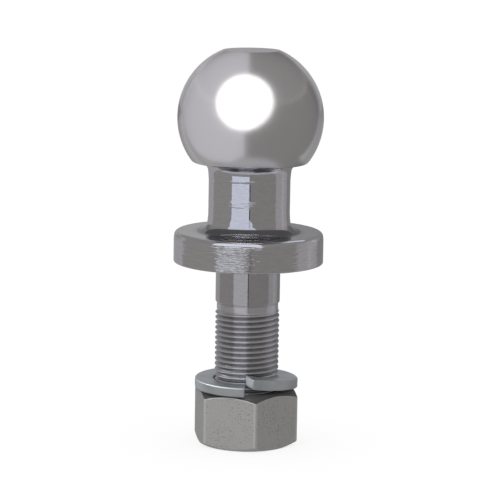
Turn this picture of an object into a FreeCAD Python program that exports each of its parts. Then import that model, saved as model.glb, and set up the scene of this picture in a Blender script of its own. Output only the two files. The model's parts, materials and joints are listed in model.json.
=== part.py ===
import FreeCAD, Part
import math
import os

# A tow ball on a threaded shank, with the split spring washer and the hexagon nut that clamp it
# under a drawbar tongue. It comes apart into three pieces: the forged and turned ball with its
# neck, flange and shank, the washer, and the nut.
#
# Sizes are in millimetres and angles in degrees. +Z is up. The origin is on the shank's axis, in
# the plane of the flange's seat, so the ball is above it and the shank hangs below.
# Angles round the axis are measured from the front, which faces -Y, and grow towards +X.

# Ball
BALL_DIA = 50.0
BALL_CENTRE_HEIGHT = 49.8
CROWN_FLAT_DIA = 19.6
UNDERSIDE_DIA = 39.6
UNDERSIDE_CHAMFER = 0.4

# Neck, which curves out into the ball's underside and into the flange; each curve's size is its
# reach along both of the surfaces that it joins
NECK_DIA = 28.0
NECK_TOP_CURVE = 4.7
NECK_FOOT_CURVE = 5.6

# Flange, with a top that falls a little towards the rim
FLANGE_DIA = 51.5
FLANGE_RIM_THICKNESS = 10.3
FLANGE_TOP_FALL = 0.3
FLANGE_TOP_CHAMFER = 0.9
FLANGE_SEAT_CHAMFER = 0.4

# Shank: a plain length under the flange, the reduced blank that the thread was rolled on, and
# the threaded length, which is drawn at the height of the thread's crests
SHANK_DIA = 22.2
SHANK_LENGTH = 62.6
PLAIN_LENGTH = 13.6
PLAIN_END_CHAMFER = 0.3
BLANK_DIA = 21.2
BLANK_LENGTH = 2.4
THREAD_CREST_DIA = 22.1
THREAD_START_CHAMFER = 0.4
SHANK_END_CHAMFER = 1.5

# Nut
NUT_ACROSS_FLATS = 32.8
NUT_HEIGHT = 19.05
NUT_TOP_DEPTH = 44.3
NUT_FACE_DIA = 31.6
NUT_CHAMFER_ANGLE = 30.0
NUT_FRONT_CORNER_ANGLE = 10.6
THREAD_CLEARANCE = 0.05
NUT_COUNTERSINK_DEPTH = 0.9

# Spring washer: one turn that lies flat on the nut and lifts towards its free end
WASHER_BORE_CLEARANCE = 0.3
WASHER_SECTION_WIDTH = 6.4
WASHER_THICKNESS = 3.6
WASHER_EDGE_CHAMFER = 0.4
WASHER_SEAT_CLEARANCE = 0.05
WASHER_LOW_END_ANGLE = -1.8
WASHER_GAP_ANGLE = 0.8
WASHER_LIFT = 3.2
WASHER_LIFT_ANGLE = 101.0
WASHER_BEND_ANGLE = 15.0
WASHER_END_SLANT = 23.5
WASHER_STATION_ANGLE = 6.0

# What follows from the sizes above
ball_radius = BALL_DIA / 2
shank_radius = SHANK_DIA / 2
thread_radius = THREAD_CREST_DIA / 2
thread_start = -PLAIN_LENGTH - PLAIN_END_CHAMFER - BLANK_LENGTH
nut_bore_radius = thread_radius + THREAD_CLEARANCE
washer_inner_radius = shank_radius + WASHER_BORE_CLEARANCE
washer_outer_radius = washer_inner_radius + WASHER_SECTION_WIDTH
washer_length = 360 - WASHER_GAP_ANGLE


def polar(radius, angle, height):
    """The point at a radius, an angle from the front towards +X, and a height."""
    turn = math.radians(angle)
    return FreeCAD.Vector(radius * math.sin(turn), -radius * math.cos(turn), height)


def on_section(radius, height):
    """The point of the half section, drawn in the XZ plane, at a radius and a height."""
    return FreeCAD.Vector(radius, 0, height)


def chain(points):
    """Straight edges from each (radius, height) point of the half section to the next."""
    corners = [on_section(*point) for point in points]
    return [Part.LineSegment(a, b).toShape() for a, b in zip(corners, corners[1:])]


def curve(start, corner, end):
    """One edge from start to end, which leaves and arrives along the lines through the corner."""
    parabola = Part.BezierCurve()
    parabola.setPoles([on_section(*point) for point in (start, corner, end)])
    return [parabola.toShape()]


def turned(edges):
    """The solid that a closed half section makes when it is turned about the axis."""
    section = Part.Face(Part.Wire(edges))
    return section.revolve(FreeCAD.Vector(0, 0, 0), FreeCAD.Vector(0, 0, 1), 360)


def ball_and_shank():
    """The forging: ball, neck, flange and shank, turned as one half section."""
    crown_radius = CROWN_FLAT_DIA / 2
    crown = BALL_CENTRE_HEIGHT + math.sqrt(ball_radius**2 - crown_radius**2)
    underside_radius = UNDERSIDE_DIA / 2
    underside = BALL_CENTRE_HEIGHT - math.sqrt(ball_radius**2 - underside_radius**2)
    ball_end = underside + UNDERSIDE_CHAMFER
    ball_end_radius = math.sqrt(ball_radius**2 - (BALL_CENTRE_HEIGHT - ball_end) ** 2)
    ball = Part.Arc(
        on_section(crown_radius, crown),
        on_section(ball_radius, BALL_CENTRE_HEIGHT),
        on_section(ball_end_radius, ball_end),
    ).toShape()

    neck_radius = NECK_DIA / 2
    flange_radius = FLANGE_DIA / 2
    flange_top = FLANGE_RIM_THICKNESS + FLANGE_TOP_FALL
    flange_slope = FLANGE_TOP_FALL / (flange_radius - neck_radius)
    under_ball = (neck_radius + NECK_TOP_CURVE, underside)
    neck_top = (neck_radius, underside - NECK_TOP_CURVE)
    neck_foot = (neck_radius, flange_top + NECK_FOOT_CURVE)
    on_flange = (neck_radius + NECK_FOOT_CURVE, flange_top - NECK_FOOT_CURVE * flange_slope)
    blank_radius = BLANK_DIA / 2

    return turned(
        chain([(0, crown), (crown_radius, crown)])
        + [ball]
        + chain(
            [
                (ball_end_radius, ball_end),
                (underside_radius - UNDERSIDE_CHAMFER, underside),
                under_ball,
            ]
        )
        + curve(under_ball, (neck_radius, underside), neck_top)
        + chain([neck_top, neck_foot])
        + curve(neck_foot, (neck_radius, flange_top), on_flange)
        + chain(
            [
                on_flange,
                (
                    flange_radius - FLANGE_TOP_CHAMFER,
                    FLANGE_RIM_THICKNESS + FLANGE_TOP_CHAMFER * flange_slope,
                ),
                (flange_radius, FLANGE_RIM_THICKNESS - FLANGE_TOP_CHAMFER),
                (flange_radius, FLANGE_SEAT_CHAMFER),
                (flange_radius - FLANGE_SEAT_CHAMFER, 0),
                (shank_radius, 0),
                (shank_radius, -PLAIN_LENGTH),
                (blank_radius, -PLAIN_LENGTH - PLAIN_END_CHAMFER),
                (blank_radius, thread_start),
                (thread_radius, thread_start - THREAD_START_CHAMFER),
                (thread_radius, -SHANK_LENGTH + SHANK_END_CHAMFER),
                (thread_radius - SHANK_END_CHAMFER, -SHANK_LENGTH),
                (0, -SHANK_LENGTH),
                (0, crown),
            ]
        )
    )


def washer_lift(along):
    """How far the washer has risen from the nut, at an angle along it from its low end.

    It lies flat, bends over a short stretch as a parabola, and then climbs evenly.
    """
    half_bend = WASHER_BEND_ANGLE / 2
    past_bend = along - (washer_length - WASHER_LIFT_ANGLE)
    if past_bend <= -half_bend:
        return 0.0
    if past_bend < half_bend:
        climbed = (past_bend + half_bend) ** 2 / (4 * half_bend)
    else:
        climbed = past_bend
    return WASHER_LIFT * climbed / WASHER_LIFT_ANGLE


def washer_section(along):
    """The washer's section at an angle along it: a rectangle with its corners chamfered."""
    angle = WASHER_LOW_END_ANGLE - along
    inner = washer_inner_radius
    outer = washer_outer_radius
    bottom = -NUT_TOP_DEPTH + WASHER_SEAT_CLEARANCE + washer_lift(along)
    top = bottom + WASHER_THICKNESS
    cut = WASHER_EDGE_CHAMFER
    corners = (
        (inner + cut, bottom),
        (outer - cut, bottom),
        (outer, bottom + cut),
        (outer, top - cut),
        (outer - cut, top),
        (inner + cut, top),
        (inner, top - cut),
        (inner, bottom + cut),
    )
    outline = [polar(radius, angle, height) for radius, height in corners]
    return Part.makePolygon(outline + outline[:1])


def spring_washer():
    """One turn: a flat arc, then a ruled arc that climbs to a free end sheared at a slant."""
    flat_length = washer_length - WASHER_LIFT_ANGLE - WASHER_BEND_ANGLE / 2
    flat_arc = Part.Face(washer_section(0)).revolve(
        FreeCAD.Vector(0, 0, 0), FreeCAD.Vector(0, 0, 1), -flat_length
    )
    stations = round((washer_length - flat_length) / WASHER_STATION_ANGLE)
    sections = [
        washer_section(flat_length + (washer_length - flat_length) * i / stations)
        for i in range(stations + 1)
    ]
    turn = flat_arc.fuse(Part.makeLoft(sections, True, True))

    # the slant starts at the free end's inner corner and runs outwards, back along the turn
    end_angle = WASHER_LOW_END_ANGLE - washer_length
    inner = polar(washer_inner_radius, end_angle, -NUT_TOP_DEPTH)
    reach = 2 * WASHER_SECTION_WIDTH
    slanting = inner + polar(reach, end_angle + WASHER_END_SLANT, 0)
    straight = inner + polar(reach, end_angle, 0)
    offcut = Part.Face(Part.makePolygon([inner, slanting, straight, inner]))
    height = WASHER_SEAT_CLEARANCE + WASHER_LIFT + 2 * WASHER_THICKNESS
    return turn.cut(offcut.extrude(FreeCAD.Vector(0, 0, height)))


def hex_nut():
    """A hexagon with both ends turned to a cone, bored and countersunk."""
    bottom = -NUT_TOP_DEPTH - NUT_HEIGHT
    corner_radius = NUT_ACROSS_FLATS / math.sqrt(3)
    corners = [polar(corner_radius, NUT_FRONT_CORNER_ANGLE + 60 * i, bottom) for i in range(7)]
    hexagon = Part.Face(Part.makePolygon(corners))
    blank = hexagon.extrude(FreeCAD.Vector(0, 0, NUT_HEIGHT))

    face_radius = NUT_FACE_DIA / 2
    outside = NUT_ACROSS_FLATS
    fall = (outside - face_radius) * math.tan(math.radians(NUT_CHAMFER_ANGLE))
    spindle = turned(
        chain(
            [
                (0, bottom),
                (face_radius, bottom),
                (outside, bottom + fall),
                (outside, -NUT_TOP_DEPTH - fall),
                (face_radius, -NUT_TOP_DEPTH),
                (0, -NUT_TOP_DEPTH),
                (0, bottom),
            ]
        )
    )

    mouth_radius = nut_bore_radius + NUT_COUNTERSINK_DEPTH
    bore = turned(
        chain(
            [
                (0, bottom),
                (mouth_radius, bottom),
                (nut_bore_radius, bottom + NUT_COUNTERSINK_DEPTH),
                (nut_bore_radius, -NUT_TOP_DEPTH - NUT_COUNTERSINK_DEPTH),
                (mouth_radius, -NUT_TOP_DEPTH),
                (0, -NUT_TOP_DEPTH),
                (0, bottom),
            ]
        )
    )
    return blank.common(spindle).cut(bore)


os.makedirs("parts", exist_ok=True)
pieces = {
    "ball_and_shank": ball_and_shank(),
    "spring_washer": spring_washer(),
    "hex_nut": hex_nut(),
}
for name, shape in pieces.items():
    shape.exportStep(f"parts/{name}.step")
    box = shape.BoundBox
    print(
        f"{name}: {len(shape.Solids)} solid, valid {shape.isValid()}, {shape.Volume:.0f} mm3,"
        f" z {box.ZMin:.2f} to {box.ZMax:.2f}, x {box.XMin:.2f} to {box.XMax:.2f}"
    )
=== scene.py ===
# %% [markdown]
# # A tow ball with its spring washer and nut
#
# The object stands upright on its own nut: a bright turned ball on a short neck, a round flange,
# a threaded shank, a split spring washer and a hexagon nut. The CAD model holds the true sizes
# and says what moves. Here it is loaded as a fixed frame, and finer surfaces take the place of
# its three solids: small rounded edges, a real helical thread, and metal that looks like metal.
#
# Every surface is worked out with numpy as one grid of points, and then handed to Blender as a
# mesh. That keeps each shape a formula that can be read, and it gives even rows of faces, which
# mirror-bright metal needs, because it shows every dent in a mesh.

# %% Load the frame
import json
import math

import bpy
import numpy as np
from mathutils import Matrix, Vector


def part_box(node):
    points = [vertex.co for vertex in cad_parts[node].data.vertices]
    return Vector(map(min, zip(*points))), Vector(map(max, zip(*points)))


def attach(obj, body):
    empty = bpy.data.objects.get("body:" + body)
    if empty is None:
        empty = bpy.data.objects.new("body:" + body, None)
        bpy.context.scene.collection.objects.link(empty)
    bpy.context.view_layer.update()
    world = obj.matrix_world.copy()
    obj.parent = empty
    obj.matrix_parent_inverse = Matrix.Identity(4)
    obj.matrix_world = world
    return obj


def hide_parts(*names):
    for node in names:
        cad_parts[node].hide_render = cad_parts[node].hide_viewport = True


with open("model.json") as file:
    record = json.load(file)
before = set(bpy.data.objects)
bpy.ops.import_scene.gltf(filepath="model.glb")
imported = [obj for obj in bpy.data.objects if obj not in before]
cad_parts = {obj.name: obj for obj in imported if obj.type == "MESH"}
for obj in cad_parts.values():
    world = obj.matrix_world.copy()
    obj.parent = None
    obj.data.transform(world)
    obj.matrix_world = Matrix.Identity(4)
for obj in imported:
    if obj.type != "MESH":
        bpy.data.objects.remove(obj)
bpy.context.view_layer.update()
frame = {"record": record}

# %% [markdown]
# ## Sizes
#
# The frame knows the main sizes: each mount's radius, each solid's box, and how far the nut
# travels in a turn, which is the thread's pitch. The smaller ones, such as edge roundings, are
# named with the piece that they belong to. All lengths in this script are in millimetres, and
# they become Blender's metres where the meshes are made.
#
# Angles round the axis start at the front, which faces -Y, and grow towards +X.

# %% Sizes that the frame gives
MM = 0.001

record = frame["record"]
mounts = {mount["name"]: mount for mount in record["mounts"]}
BALL_RADIUS = mounts["coupling_ball"]["dims"]["r_mm"]
BALL_CENTRE_HEIGHT = mounts["coupling_ball"]["pos_m"][2] / MM
SHANK_RADIUS = mounts["shank"]["dims"]["r_mm"]
PLAIN_LENGTH = mounts["shank"]["dims"]["length_mm"]
THREAD_PITCH = 2 * math.pi * record["behaviour"]["couplings"][0]["ratio"] / MM


def box_mm(node):
    """The lowest and highest corner of a CAD node, in millimetres."""
    low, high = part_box(node)
    return np.array(low) / MM, np.array(high) / MM


forging_low, forging_high = box_mm("ball_and_shank")
FLANGE_RADIUS = -forging_low[0]
CROWN_HEIGHT = forging_high[2]
SHANK_BOTTOM = forging_low[2]
nut_low, nut_high = box_mm("hex_nut")
NUT_BOTTOM, NUT_TOP = nut_low[2], nut_high[2]
washer_low, washer_high = box_mm("spring_washer")
WASHER_BOTTOM, WASHER_TOP = washer_low[2], washer_high[2]
WASHER_OUTER_RADIUS = -washer_low[0]
print(f"ball radius {BALL_RADIUS}, flange radius {FLANGE_RADIUS:.2f}, pitch {THREAD_PITCH:.4f} mm")

# %% [markdown]
# ## Grids and rounded corners
#
# Two ideas make every piece. The first is a grid of points: rows run one way over the surface
# and columns the other, and each cell of the grid is one four-cornered face. The second is a
# chain of corners, each rounded to its own radius. Turned round the axis the chain is a lathe
# part, carried round a circle it is a washer, and bent a little differently at each angle it is
# a hexagon nut.


# %% Points round the axis
def polar(radius, angle, height):
    """Points from a radius, an angle in radians from the front towards +X, and a height.

    x = radius * sin(angle), y = -radius * cos(angle), z = height.
    """
    x, y, z = np.broadcast_arrays(radius * np.sin(angle), -radius * np.cos(angle), height)
    return np.stack([x, y, z], axis=-1)


# %% The faces of a grid
def grid_faces(rows, columns, rows_close=False, columns_close=True):
    """The corner numbers of a grid's faces, where point (i, j) has the number i * columns + j.

    The face at (i, j) joins that point, the next in its row, and those two of the next row. A
    direction that closes joins its last points to its first. With columns going round towards
    +X and rows going up, the faces look outwards.
    """
    i = np.arange(rows if rows_close else rows - 1)[:, None]
    j = np.arange(columns if columns_close else columns - 1)[None, :]
    next_i = (i + 1) % rows
    next_j = (j + 1) % columns
    corners = [(i, j), (i, next_j), (next_i, next_j), (next_i, j)]
    numbers = [row * columns + column for row, column in corners]
    return np.stack(np.broadcast_arrays(*numbers), axis=-1).reshape(-1, 4)


# %% Rounded corners
SHARP = 0.02


def rounded(corners, roundings, steps):
    """A chain of corners in a plane, rounded, with its first and last point left as they are.

    corners has the shape (corner, column, 2), so that one call can bend the same chain a little
    differently in each column. At a corner, a and b are the unit vectors back and ahead, and h is
    half the angle between them. The arc touches the two sides rounding / tan(h) from the corner,
    and its centre is on the bisector, rounding / sin(h) away. Points on the arc are turned evenly
    from one touching point to the other.

    One more point stands a little beyond each end of the arc. It keeps the straight side truly
    flat when the faces are shaded smooth. A corner that looks sharp is given the rounding SHARP.
    """
    chain = [corners[:1]]
    for k, rounding in enumerate(roundings, start=1):
        corner = corners[k]
        a = corners[k - 1] - corner
        b = corners[k + 1] - corner
        a = a / np.linalg.norm(a, axis=-1, keepdims=True)
        b = b / np.linalg.norm(b, axis=-1, keepdims=True)
        half = np.arccos(np.clip((a * b).sum(-1, keepdims=True), -1, 1)) / 2
        touch = rounding / np.tan(half)
        bisector = (a + b) / np.linalg.norm(a + b, axis=-1, keepdims=True)
        centre = corner + bisector * rounding / np.sin(half)
        from_centre = (corner + a * touch - centre, corner + b * touch - centre)
        sweep = np.pi - 2 * half
        part = np.linspace(0, 1, steps + 1)[:, None, None]
        arc = (
            np.sin((1 - part) * sweep) * from_centre[0] + np.sin(part * sweep) * from_centre[1]
        ) / np.sin(sweep)
        beyond = touch + 0.25 * min(rounding, 1.0)
        chain += [(corner + a * beyond)[None], centre + arc, (corner + b * beyond)[None]]
    return np.concatenate(chain + [corners[-1:]])


# %% One place that makes meshes
def add_piece(name, points, faces, body, node, slot):
    """Makes a piece from points in millimetres and faces, and ties it to the frame."""
    mesh = bpy.data.meshes.new(name)
    mesh.from_pydata((np.asarray(points) * MM).tolist(), [], faces)
    mesh.polygons.foreach_set("use_smooth", np.ones(len(mesh.polygons), bool))
    mesh.validate()
    mesh.update()
    piece = bpy.data.objects.new(name, mesh)
    bpy.context.scene.collection.objects.link(piece)
    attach(piece, body)
    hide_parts(node)
    triangles = sum(len(polygon.vertices) - 2 for polygon in mesh.polygons)
    print(f"{name}: {len(mesh.vertices)} points, {triangles} triangles")
    return piece


# %% [markdown]
# ## The ball, the neck and the flange
#
# These are turned on a lathe, so each is one outline swept round the axis. The outline starts on
# the axis at the bottom, goes out and up, and comes back to the axis at the top. Blender's Screw
# or Spin tools could do the same, but the formula closes the two ends with a fan of triangles
# and leaves nothing to merge.
#
# They are three meshes, because the ball is polished and the others keep their turning marks,
# and because each of them mirrors another part of the studio. The ball ends in the flat ring
# below it, and the neck runs a little way into the ball and the flange, so no seam shows.

# %% A lathe
LATHE_COLUMNS = 256


def lathe(profile):
    """Points and faces of an outline turned round the axis.

    The outline is (radius, height) points from the axis below to the axis above. Its two end
    points become the centres of two fans.
    """
    angle = np.linspace(0, 2 * np.pi, LATHE_COLUMNS, endpoint=False)
    radius, height = profile[1:-1].T
    rings = polar(radius[:, None], angle, height[:, None]).reshape(-1, 3)
    centres = [[0, 0, profile[0, 1]], [0, 0, profile[-1, 1]]]
    rows = len(radius)
    this = np.arange(LATHE_COLUMNS)
    following = np.roll(this, -1)
    below = np.full(LATHE_COLUMNS, len(rings))
    top_row = (rows - 1) * LATHE_COLUMNS
    faces = grid_faces(rows, LATHE_COLUMNS).tolist()
    faces += np.stack([below, following, this], axis=-1).tolist()
    faces += np.stack([below + 1, top_row + this, top_row + following], axis=-1).tolist()
    return np.concatenate([rings, centres]), faces


# %% The ball
CROWN_FLAT_RADIUS = 9.8
CROWN_EDGE_ROUNDING = 0.5
UNDERSIDE_RADIUS = 19.8
UNDERSIDE_ROUNDING = 1.4
EDGE_REACH = 0.062


def ball_profile():
    """The ball's outline: the flat ring below, the sphere, and the flat crown.

    A point of the sphere at the angle a above its middle is R cos(a) from the axis and R sin(a)
    above the centre. The points start and end EDGE_REACH radians from the sphere's two edges,
    to leave room for the roundings there.
    """
    low = -np.arccos(UNDERSIDE_RADIUS / BALL_RADIUS)
    high = np.arccos(CROWN_FLAT_RADIUS / BALL_RADIUS)
    rise = np.linspace(low + EDGE_REACH, high - EDGE_REACH, 110)
    sphere = np.stack(
        [BALL_RADIUS * np.cos(rise), BALL_CENTRE_HEIGHT + BALL_RADIUS * np.sin(rise)], axis=-1
    )
    underside = BALL_CENTRE_HEIGHT + BALL_RADIUS * math.sin(low)
    below = np.array([[0, underside], [UNDERSIDE_RADIUS, underside], sphere[0]])
    above = np.array([sphere[-1], [CROWN_FLAT_RADIUS, CROWN_HEIGHT], [0, CROWN_HEIGHT]])
    return np.concatenate(
        [
            rounded(below[:, None], [UNDERSIDE_ROUNDING], steps=6)[:-1, 0],
            sphere,
            rounded(above[:, None], [CROWN_EDGE_ROUNDING], steps=4)[1:, 0],
        ]
    )


ball_outline = ball_profile()
UNDERSIDE_HEIGHT = ball_outline[0, 1]
ball = add_piece("ball", *lathe(ball_outline), "ball", "ball_and_shank", "chrome_forging")

# %% The flange
FLANGE_SEAT_ROUNDING = 0.45
FLANGE_RIM_HEIGHT = 10.7
FLANGE_SHOULDER = (0.3, 2.6)
FLANGE_SHOULDER_ROUNDING = 4.0
FLANGE_TOP = 10.6
FLANGE_TOP_ROUNDING = 1.6
FLANGE_KNEE_RADIUS = 20.8
FLANGE_KNEE_ROUNDING = 20.0
NECK_RADIUS = 14.0
INTO_NEXT = 1.0
PROFILE_STEPS = 14


def flange_profile():
    """The outline from the flange's seat, up over its rim, and in under the neck."""
    corners = np.array(
        [
            [0, 0],
            [FLANGE_RADIUS, 0],
            [FLANGE_RADIUS, FLANGE_RIM_HEIGHT - FLANGE_SHOULDER[1]],
            [FLANGE_RADIUS - FLANGE_SHOULDER[0], FLANGE_RIM_HEIGHT],
            [FLANGE_KNEE_RADIUS, FLANGE_TOP],
            [NECK_RADIUS - INTO_NEXT, FLANGE_TOP],
            [0, FLANGE_TOP],
        ]
    )
    roundings = [
        FLANGE_SEAT_ROUNDING,
        FLANGE_SHOULDER_ROUNDING,
        FLANGE_TOP_ROUNDING,
        FLANGE_KNEE_ROUNDING,
    ]
    outline = rounded(corners[:-1, None], roundings, PROFILE_STEPS)[:, 0]
    return np.concatenate([outline, corners[-1:]])


flange = add_piece("flange", *lathe(flange_profile()), "ball", "ball_and_shank", "chrome_forging")


# %% The neck
NECK_TOP_ROUNDING = 3.5
NECK_FOOT_ROUNDING = 3.7
NECK_WAIST_ROUNDING = 20.0
NECK_TOP_TAPER = (0.5, 5.9)
NECK_FOOT_TAPER = (0.6, 5.7)
NECK_COLLAR = 1.1
UNDER_SURFACE = 0.003


def neck_profile():
    """The outline from inside the flange, out along its top, up the neck, to inside the ball.

    Its foot and its head reach a collar's width beyond their roundings, just under the surface
    of the flange and of the ball.
    """
    foot = FLANGE_TOP - UNDER_SURFACE
    head = UNDERSIDE_HEIGHT - UNDER_SURFACE
    foot_reach = NECK_RADIUS + NECK_FOOT_ROUNDING + NECK_COLLAR
    head_reach = NECK_RADIUS + NECK_TOP_ROUNDING + NECK_COLLAR
    corners = np.array(
        [
            [0, foot - INTO_NEXT],
            [foot_reach, foot - INTO_NEXT],
            [foot_reach, foot],
            [NECK_RADIUS + NECK_FOOT_TAPER[0], foot],
            [NECK_RADIUS, FLANGE_TOP + NECK_FOOT_TAPER[1]],
            [NECK_RADIUS, UNDERSIDE_HEIGHT - NECK_TOP_TAPER[1]],
            [NECK_RADIUS + NECK_TOP_TAPER[0], head],
            [head_reach, head],
            [head_reach, head + INTO_NEXT],
            [0, head + INTO_NEXT],
        ]
    )
    waist = [NECK_FOOT_ROUNDING, NECK_WAIST_ROUNDING, NECK_WAIST_ROUNDING, NECK_TOP_ROUNDING]
    roundings = [SHARP, SHARP, *waist, SHARP, SHARP]
    return rounded(corners[:, None], roundings, PROFILE_STEPS)[:, 0]


neck = add_piece("neck", *lathe(neck_profile()), "ball", "ball_and_shank", "chrome_forging")

# %% [markdown]
# ## The threaded shank
#
# The thread is rolled: a smooth rod is squeezed between dies, which press a V-shaped groove into
# it and push the metal up into the crests. So the crests stand above the rod that it was rolled
# on, and the groove fades out at its upper end.
#
# If the rows of the grid ran level, each crest would cross them at a slant and come out ragged.
# So here the rows climb with the thread. After one turn round the axis a row has climbed one
# pitch, and it meets not itself but the row one pitch higher. The plain ends need level rows
# again: between a level ring and the first climbing row there is a thin wedge, and where the
# wedge is one pitch tall, one face with many corners closes it.


# %% The thread's form
CREST_HALF_WIDTH = 1 / 16
FLANK_WIDTH = 0.4
THREAD_CREST_HEIGHT = -28.10


def thread_form(turns):
    """How deep the thread is, from 0 on a crest to 1 in the groove, at a number of pitches.

    The distance to the nearest crest, d, is folded to 0 ... 0.5. The crest is flat for 1/16 of a
    pitch each side, and the flank falls over the next 0.4 of a pitch, to a narrow bottom. With
    f the part of the flank that is passed, the depth is 0.65 of (1 - cos(pi f)) / 2, which
    rounds the crest and the bottom as rolling dies do, and 0.35 of f^1.5.
    """
    distance = np.abs((turns + 0.5) % 1 - 0.5)
    fall = np.clip((distance - CREST_HALF_WIDTH) / FLANK_WIDTH, 0, 1)
    eased = (1 - np.cos(np.pi * fall)) / 2
    return 0.35 * fall**1.5 + 0.65 * eased


def turns_above_crest(angle, height):
    """Pitches between a place and the crest at the front, which climbs one pitch in a turn."""
    return (height - THREAD_CREST_HEIGHT) / THREAD_PITCH - angle / (2 * np.pi)


# %% The climbing rows
BLANK_RADIUS = 10.6
THREAD_TOP = -16.3
THREAD_CREST_RADIUS = 11.05
THREAD_DEPTH = 1.113
SHANK_END_CHAMFER = 1.5
ROWS_PER_PITCH = 16
THREAD_COLUMNS = 128
thread_angle = np.linspace(0, 2 * np.pi, THREAD_COLUMNS, endpoint=False)
END_RADIUS = THREAD_CREST_RADIUS - SHANK_END_CHAMFER


def climbing_rows():
    """Points of the thread, from a groove just above the shank's end to the plain blank.

    Row t starts at the front at bottom + pitch * t / rows, and climbs one pitch in a turn. The
    radius is the blank's, plus the fade times what the thread's form adds or takes away, and no
    more than the cone of the end's chamfer.
    """
    first_groove = math.ceil((SHANK_BOTTOM + 0.4 - THREAD_CREST_HEIGHT) / THREAD_PITCH) + 0.5
    bottom = THREAD_CREST_HEIGHT + first_groove * THREAD_PITCH
    row = np.arange(math.ceil((THREAD_TOP - bottom) / THREAD_PITCH * ROWS_PER_PITCH) + 1)
    height = bottom + THREAD_PITCH * (row[:, None] / ROWS_PER_PITCH + thread_angle / (2 * np.pi))
    turns = turns_above_crest(thread_angle, height)
    form = THREAD_CREST_RADIUS - THREAD_DEPTH * thread_form(turns)
    fade = np.clip((THREAD_TOP - height) / (0.5 * THREAD_PITCH), 0, 1)
    radius = BLANK_RADIUS + fade * (form - BLANK_RADIUS)
    cone = END_RADIUS + height - SHANK_BOTTOM
    return polar(np.minimum(radius, cone), thread_angle, height)


# %% The shank as one closed surface
def wedge(ring, rows, first, seam, upward):
    """Faces between a level ring and the climbing row next to it.

    ring and rows are arrays of point numbers. first is the row of the grid that meets the ring,
    and seam lists the rows whose ends stand free at the seam, where one face closes the wedge.
    """
    climbing = rows[first]
    strip = [ring[:-1], ring[1:], climbing[1:], climbing[:-1]]
    if upward:
        strip = strip[::-1]
        closing = [rows[seam[0], -1], climbing[0], ring[0], ring[-1], *rows[seam[:0:-1], -1]]
    else:
        closing = [ring[-1], ring[0], *rows[seam, 0], climbing[-1]]
    return np.stack(strip, axis=-1).tolist() + [[int(corner) for corner in closing]]


PLAIN_END_CHAMFER = 0.3
PLAIN_END_ROUNDING = 0.12


def shank():
    """Points and faces of the whole shank, from its end to inside the flange.

    There are three blocks of points: level rings at the end, the climbing rows, and level rings
    from the blank over the chamfer to 2 mm inside the flange.
    """
    below = np.array([[-0.3, 0], [0, 0], [0.2, 0.2]]) + [END_RADIUS, SHANK_BOTTOM]
    step = -PLAIN_LENGTH - PLAIN_END_CHAMFER
    plain = [[SHANK_RADIUS, -PLAIN_LENGTH], [SHANK_RADIUS, 1.0], [SHANK_RADIUS, 2.0]]
    corners = np.array([[BLANK_RADIUS, step - 0.45], [BLANK_RADIUS, step], *plain])
    chamfer = rounded(corners[:-1, None], [PLAIN_END_ROUNDING] * 2, steps=3)[:, 0]
    above = np.concatenate([chamfer, corners[-1:]])
    parts = [
        polar(below[:, :1], thread_angle, below[:, 1:]).reshape(-1, 3),
        climbing_rows().reshape(-1, 3),
        polar(above[:, :1], thread_angle, above[:, 1:]).reshape(-1, 3),
        np.array([[0, 0, below[0, 1]], [0, 0, above[-1, 1]]]),
    ]
    starts = np.cumsum([0] + [len(part) for part in parts])
    lower, rows, upper = blocks = [
        np.arange(starts[k], starts[k + 1]).reshape(-1, THREAD_COLUMNS) for k in range(3)
    ]

    faces = []
    for start, block in zip(starts, blocks):
        cells = grid_faces(len(block), THREAD_COLUMNS, columns_close=block is not rows)
        faces += (cells + start).tolist()
    free = ROWS_PER_PITCH
    last, first = rows[:-free, -1], rows[free:, 0]
    faces += np.stack([last[:-1], first[:-1], first[1:], last[1:]], axis=-1).tolist()
    faces += wedge(lower[-1], rows, 0, np.arange(free + 1), upward=False)
    top = len(rows) - 1
    faces += wedge(upper[0], rows, top, np.arange(top - free, top + 1), upward=True)

    following = np.roll(np.arange(THREAD_COLUMNS), -1)
    for centre, ring in ((starts[3], lower[0][::-1]), (starts[3] + 1, upper[-1])):
        centres = np.full(THREAD_COLUMNS, centre)
        faces += np.stack([centres, ring, ring[following]], axis=-1).tolist()
    return np.concatenate(parts), faces


threaded_shank = add_piece("threaded_shank", *shank(), "ball", "ball_and_shank", "chrome_forging")

# %% [markdown]
# ## The spring washer
#
# A spring washer is one turn of square wire, wound, cut and sprung apart, so that it keeps the
# nut tight as it is squeezed flat. Most of this one lies on the nut. Its last third bends up and
# climbs to a free end, which the shear cut at a slant.
#
# The section is a rectangle with rounded corners, the same all the way, so the piece is that
# section carried along a path: rows go round the section, and columns along the turn. Near each
# end the section shrinks a little, which makes the small bright bevel there.

# %% The path
WASHER_INNER_RADIUS = 11.4
WASHER_THICKNESS = 3.6
WASHER_GAP_ANGLE = 0.8
WASHER_LIFT_ANGLE = 101.0
WASHER_BEND_ANGLE = 15.0
WASHER_END_SLANT = 23.5
WASHER_LENGTH_ANGLE = 360 - WASHER_GAP_ANGLE
WASHER_LIFT = WASHER_TOP - WASHER_BOTTOM - WASHER_THICKNESS


def washer_lift(along):
    """How high the washer stands above its flat part, at an angle along it from its low end.

    It is 0 on the flat part, grows with the square of the angle in the bend, and then grows
    evenly up to the free end.
    """
    past_bend = along - (WASHER_LENGTH_ANGLE - WASHER_LIFT_ANGLE)
    half_bend = WASHER_BEND_ANGLE / 2
    in_bend = np.clip(past_bend + half_bend, 0, 2 * half_bend) ** 2 / (4 * half_bend)
    return WASHER_LIFT * (in_bend + np.maximum(past_bend - half_bend, 0)) / WASHER_LIFT_ANGLE


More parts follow.
